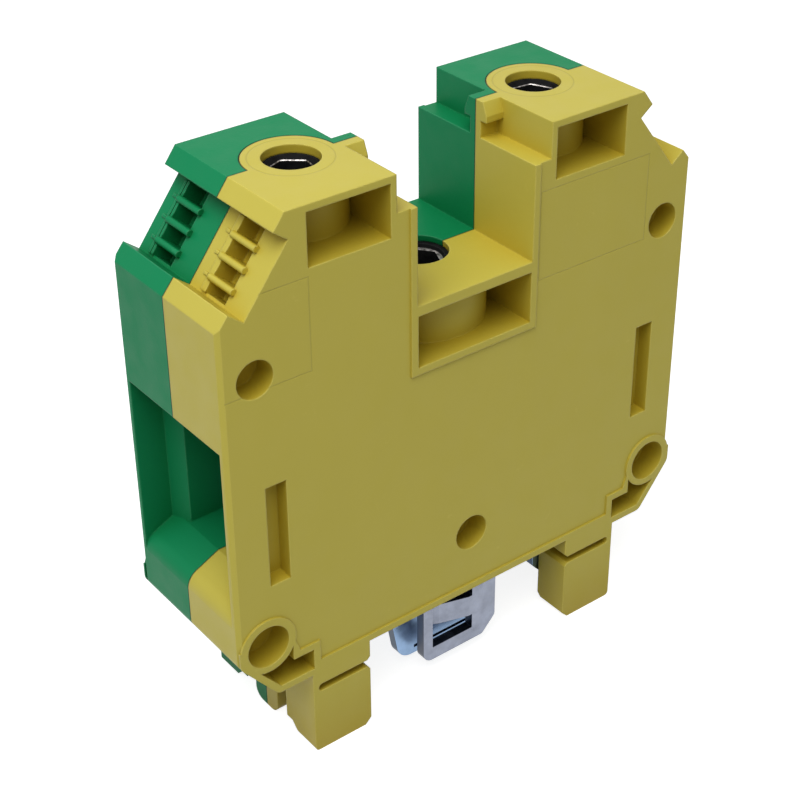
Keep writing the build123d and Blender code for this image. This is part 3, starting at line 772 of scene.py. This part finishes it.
def clamp_screw(side, settings, materials):
    """Threaded stud with a countersunk hexagon socket, in the place of its CAD node."""
    node = "clamp_screw_" + side
    low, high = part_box(node)
    middle = (low + high) / 2
    radius = (high.x - low.x) / 2
    turn = getattr(settings, "turn_" + side)
    shape = bmesh.new()
    cut_thread(shape, radius, settings.thread_depth, CLAMP_PITCH, low.z, high.z)
    cut_socket(shape, settings, turn, radius - CHAMFER, high.z, CLAMP_SOCKET_DEPTH)
    close_tip(shape, radius, low.z)
    finish_screw(shape, "clamp_stud_" + side, node, "screw_" + side, (middle.x, middle.y, 0),
                 materials)


def foot_screw(settings, materials):
    """Socket head screw with a knurled head, in the place of its CAD node."""
    low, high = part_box("foot_screw")
    top = high.z
    head_radius = (high.x - low.x) / 2
    under_head = top - HEAD_HEIGHT
    thread_top = low.z + FOOT_THREAD_LENGTH
    shape = bmesh.new()
    cut_thread(shape, SHANK_RADIUS, FOOT_THREAD_DEPTH, FOOT_PITCH, low.z, thread_top)
    close_tip(shape, SHANK_RADIUS, low.z)
    skin_rings(shape, [circle(SHANK_RADIUS, thread_top, KNURLS),
                       circle(SHANK_RADIUS, under_head, KNURLS),
                       circle(head_radius - HEAD_FOOT_BEVEL, under_head, KNURLS),
                       knurled(head_radius, under_head + KNURL_START),
                       knurled(head_radius, top - KNURL_END),
                       circle(head_radius - HEAD_TOP_BEVEL, top, KNURLS),
                       circle(head_radius - HEAD_RIM, top, KNURLS)], close_last=False)
    cut_socket(shape, settings, settings.turn_foot, head_radius - HEAD_RIM, top,
               FOOT_SOCKET_DEPTH, round_lip=True)
    finish_screw(shape, "cap_screw", "foot_screw", "screw_foot", (0, 0, 0), materials)


# Studio

def soft_box(name, place, size, target, power):
    """A rectangular lamp aimed at a point."""
    lamp = bpy.data.lights.new(name, "AREA")
    lamp.shape = "RECTANGLE"
    lamp.size, lamp.size_y = size
    lamp.energy = power
    holder = bpy.data.objects.new(name, lamp)
    holder.location = place
    holder.rotation_euler = (target - Vector(place)).to_track_quat("-Z", "Y").to_euler()
    bpy.context.scene.collection.objects.link(holder)


def seen_rays(tree):
    """1 for what the camera, a reflection or a view through glass sees, 0 for plain light."""
    path = tree.nodes.new("ShaderNodeLightPath")
    mirrored = math_node(tree, "MAXIMUM", path.outputs["Is Glossy Ray"],
                         path.outputs["Is Transmission Ray"])
    return math_node(tree, "MAXIMUM", path.outputs["Is Camera Ray"], mirrored)


def make_floor(colour, white, low):
    """A pale floor that the camera sees as white, with the block's shadow kept."""
    mesh = bpy.data.meshes.new("floor")
    shape = bmesh.new()
    bmesh.ops.create_grid(shape, x_segments=1, y_segments=1, size=FLOOR_HALF)
    shape.to_mesh(mesh)
    shape.free()
    floor = bpy.data.objects.new("floor", mesh)
    floor.location = (0, 0, low)
    bpy.context.scene.collection.objects.link(floor)
    material, shader = new_material("pale floor")
    tree = material.node_tree
    shader.inputs["Base Color"].default_value = (*colour, 1.0)
    shader.inputs["Roughness"].default_value = 0.9
    shader.inputs["Specular IOR Level"].default_value = 0.0
    shader.inputs["Emission Color"].default_value = WHITE
    tree.links.new(times(tree, seen_rays(tree), white), shader.inputs["Emission Strength"])
    mesh.materials.append(material)


def make_world(strength):
    """Even white light, plain white to the camera."""
    world = bpy.data.worlds.new("studio")
    bpy.context.scene.world = world
    world.use_nodes = True
    tree = world.node_tree
    tree.nodes.clear()
    output = tree.nodes.new("ShaderNodeOutputWorld")
    even = tree.nodes.new("ShaderNodeBackground")
    even.inputs["Color"].default_value = WHITE
    seen = ramp(tree, seen_rays(tree), low=0.0, high=1.0, low_to=strength, high_to=1.0)
    tree.links.new(seen, even.inputs["Strength"])
    tree.links.new(even.outputs[0], output.inputs["Surface"])


def make_camera(settings):
    """The camera at the photograph's viewing angle."""
    yaw, pitch, roll = settings.yaw, settings.pitch, settings.roll
    ahead = Vector((math.sin(yaw) * math.cos(pitch), math.cos(yaw) * math.cos(pitch),
                    -math.sin(pitch)))
    level = Vector((math.cos(yaw), -math.sin(yaw), 0.0))
    upright = level.cross(ahead)
    right = level * math.cos(roll) + upright * math.sin(roll)
    up = upright * math.cos(roll) - level * math.sin(roll)
    turn = Matrix((right, up, -ahead)).transposed().to_4x4()
    lens = bpy.data.cameras.new("camera")
    lens.sensor_width = SENSOR_MM
    lens.lens = settings.lens
    lens.shift_x, lens.shift_y = settings.shift
    lens.clip_start, lens.clip_end = CLIP_NEAR, CLIP_FAR
    camera = bpy.data.objects.new("camera", lens)
    camera.matrix_world = Matrix.Translation(Vector(settings.eye)) @ turn
    bpy.context.scene.collection.objects.link(camera)
    bpy.context.scene.camera = camera


# Operators

class BLOCK_OT_mouldings(bpy.types.Operator):
    """Finish the yellow and green moulded halves"""

    bl_idname = "terminal_block.mouldings"
    bl_label = "Finish Mouldings"

    def execute(self, context):
        settings = context.scene.block_mouldings
        for half, hollow_shade_share, sheen in HALVES:
            colour = tuple(getattr(settings, half))
            plastic = moulded_plastic(half + " moulding", colour, hollow_shade_share, sheen, settings)
            dress(["housing_" + half], plastic)
        return {"FINISHED"}


class BLOCK_OT_metals(bpy.types.Operator):
    """Finish the cages, bar, sleeve, washers and rail foot"""

    bl_idname = "terminal_block.metals"
    bl_label = "Finish Metal Parts"

    def execute(self, context):
        settings = context.scene.block_metals
        for name, setting, line_strength, sheared_edge_shade, nodes in PLATINGS:
            colour = tuple(getattr(settings, setting))
            dress(nodes, plated_metal(name, colour, line_strength, sheared_edge_shade, settings))
        return {"FINISHED"}


class BLOCK_OT_screws(bpy.types.Operator):
    """Build the threaded clamp screws and the foot screw"""

    bl_idname = "terminal_block.screws"
    bl_label = "Build Screws"

    def execute(self, context):
        settings = context.scene.block_screws
        metals = context.scene.block_metals
        materials = [black_steel("black oxide", metals), worn_steel("worn socket steel", metals)]
        dress(["clamp_screw_left", "clamp_screw_right", "foot_screw"], materials[0])
        for side in ("left", "right"):
            clamp_screw(side, settings, materials)
        foot_screw(settings, materials)
        return {"FINISHED"}


class BLOCK_OT_studio(bpy.types.Operator):
    """Build the floor, lamps, backdrop and camera"""

    bl_idname = "terminal_block.studio"
    bl_label = "Build Studio"

    def execute(self, context):
        settings = context.scene.block_studio
        low, high = cad_bounds
        middle = (low + high) / 2
        make_floor(tuple(settings.floor), settings.floor_white, low.z)
        make_world(settings.sky)
        soft_box("key lamp", KEY_PLACE, KEY_SIZE, middle, settings.key)
        soft_box("fill lamp", FILL_PLACE, FILL_SIZE, middle, settings.fill)
        make_camera(settings)
        context.scene.view_settings.view_transform = "Standard"
        return {"FINISHED"}


class BLOCK_PT_panel(bpy.types.Panel):
    """Sizes, colours and build steps in the 3D view's sidebar"""

    bl_idname = "BLOCK_PT_panel"
    bl_label = "Terminal Block"
    bl_space_type = "VIEW_3D"
    bl_region_type = "UI"
    bl_category = "Terminal Block"

    def draw(self, context):
        for part in ("mouldings", "metals", "screws", "studio"):
            box = self.layout.box()
            settings = getattr(context.scene, "block_" + part)
            for name in settings.__annotations__:
                box.prop(settings, name)
            box.operator("terminal_block." + part)


CLASSES = (BLOCK_PG_mouldings, BLOCK_PG_metals, BLOCK_PG_screws, BLOCK_PG_studio,
           BLOCK_OT_mouldings, BLOCK_OT_metals, BLOCK_OT_screws, BLOCK_OT_studio, BLOCK_PT_panel)


def register():
    """Registers the classes and their settings."""
    for item in CLASSES:
        bpy.utils.register_class(item)
    bpy.types.Scene.block_mouldings = bpy.props.PointerProperty(type=BLOCK_PG_mouldings)
    bpy.types.Scene.block_metals = bpy.props.PointerProperty(type=BLOCK_PG_metals)
    bpy.types.Scene.block_screws = bpy.props.PointerProperty(type=BLOCK_PG_screws)
    bpy.types.Scene.block_studio = bpy.props.PointerProperty(type=BLOCK_PG_studio)


def unregister():
    """Removes the classes and their settings."""
    del bpy.types.Scene.block_mouldings
    del bpy.types.Scene.block_metals
    del bpy.types.Scene.block_screws
    del bpy.types.Scene.block_studio
    for item in reversed(CLASSES):
        bpy.utils.unregister_class(item)


def main():
    """Dresses the block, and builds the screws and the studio."""
    register()
    bpy.ops.terminal_block.mouldings()
    bpy.ops.terminal_block.metals()
    bpy.ops.terminal_block.screws()
    bpy.ops.terminal_block.studio()


if __name__ == "__main__":
    main()
